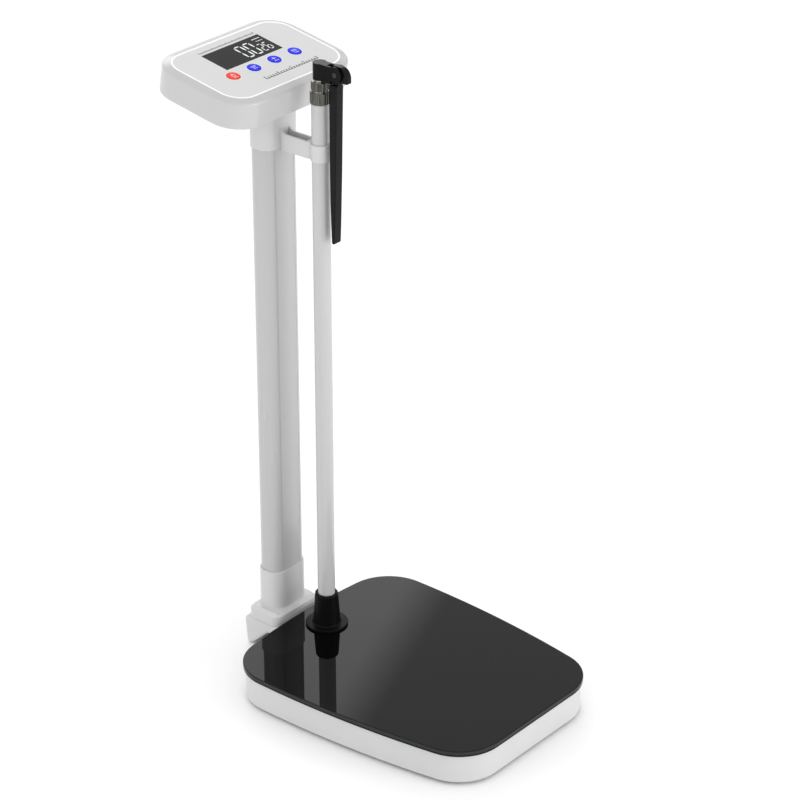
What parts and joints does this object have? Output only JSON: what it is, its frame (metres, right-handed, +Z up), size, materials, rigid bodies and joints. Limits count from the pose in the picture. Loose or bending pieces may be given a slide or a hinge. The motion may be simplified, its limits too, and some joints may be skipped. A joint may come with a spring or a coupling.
{
  "type": "electronic column body scale with height rod",
  "caption": "Glass platform scale with a flat-oval column, tilted digital display head and a telescopic height rod with a fold-down measuring arm.",
  "frame": {"origin": "on the floor, in the middle of the footprint's bounding box", "axes": "+Z up, -Y toward the person who steps on, +X to the right seen from that side"},
  "size_m": [0.29, 0.4804, 0.7584],
  "materials": {
    "white_shell": "satin white moulding",
    "white_paint": "satin white powder coat",
    "steel": "zinc plated",
    "tempered_glass": "gloss black, back painted",
    "rubber": "matt",
    "grey_plastic": "matt",
    "black_plastic": "satin black",
    "collar_metal": "polished, ribbed",
    "tube_metal": "satin anodised",
    "face_grey": "fine satin film",
    "lens": "smoked, clear gloss",
    "board": "solder mask",
    "domes": "satin",
    "cells": "film sleeve",
    "button_red": "satin",
    "button_blue": "satin"
  },
  "bodies": {
    "scale": {"base_shell": "white_shell", "base_pan": "steel", "deck_frame": "steel", "glass_gasket": "rubber", "glass_plate": "tempered_glass", "load_cell_front_left": "steel", "load_cell_front_right": "steel", "load_cell_back_left": "steel", "load_cell_back_right": "steel", "foot_cup_front_left": "grey_plastic", "foot_cup_front_right": "grey_plastic", "foot_cup_back_left": "grey_plastic", "foot_cup_back_right": "grey_plastic", "foot_pad_front_left": "rubber", "foot_pad_front_right": "rubber", "foot_pad_back_left": "rubber", "foot_pad_back_right": "rubber", "neck_block": "white_shell", "column_socket": "white_shell", "column": "white_paint", "column_plug": "grey_plastic", "column_screws": "steel", "top_collar": "white_shell", "rod_arm": "white_shell", "rod_socket": "steel", "outer_tube": "white_paint", "rod_boot": "black_plastic", "lower_collar": "collar_metal", "head_mount": "steel", "head_shell": "white_shell", "head_cover": "white_shell", "head_screws": "steel", "face_sheet": "face_grey", "display_lens": "lens", "display_module": "grey_plastic", "main_board": "board", "dome_switches": "domes", "battery_pack": "cells", "power_jack": "grey_plastic"},
    "middle_section": {"middle_tube": "tube_metal", "middle_bush": "grey_plastic", "upper_collar": "collar_metal"},
    "inner_section": {"inner_tube": "tube_metal", "inner_bush": "grey_plastic"},
    "rod_head": {"rod_bracket": "black_plastic", "pivot_screw": "steel"},
    "arm": {"measuring_arm": "black_plastic"},
    "power_key": {"button_power": "button_red"},
    "key_one": {"button_one": "button_blue"},
    "key_two": {"button_two": "button_blue"},
    "key_three": {"button_three": "button_blue"}
  },
  "joints": [
    {"name": "middle_slide", "type": "slide", "parent": "scale", "child": "middle_section", "axis": [0, 0, 1], "range_m": [0, 0.6]},
    {"name": "inner_slide", "type": "slide", "parent": "middle_section", "child": "inner_section", "axis": [0, 0, 1], "range_m": [0, 0.6]},
    {"name": "head_swivel", "type": "hinge", "parent": "inner_section", "child": "rod_head", "pos_m": [0, 0.07417, 0.744], "axis": [0, 0, 1], "range_deg": [-90, 90]},
    {"name": "arm_fold", "type": "hinge", "parent": "rod_head", "child": "arm", "pos_m": [0, 0.04847, 0.7486], "axis": [-1, 0, 0], "range_deg": [0, 90]},
    {"name": "power_press", "type": "slide", "parent": "scale", "child": "power_key", "axis": [0, 0.1702, -0.9854], "range_m": [0, 0.0005], "stiffness_N_per_m": 900},
    {"name": "key_one_press", "type": "slide", "parent": "scale", "child": "key_one", "axis": [0, 0.1702, -0.9854], "range_m": [0, 0.0005], "stiffness_N_per_m": 900},
    {"name": "key_two_press", "type": "slide", "parent": "scale", "child": "key_two", "axis": [0, 0.1702, -0.9854], "range_m": [0, 0.0005], "stiffness_N_per_m": 900},
    {"name": "key_three_press", "type": "slide", "parent": "scale", "child": "key_three", "axis": [0, 0.1702, -0.9854], "range_m": [0, 0.0005], "stiffness_N_per_m": 900}
  ]
}
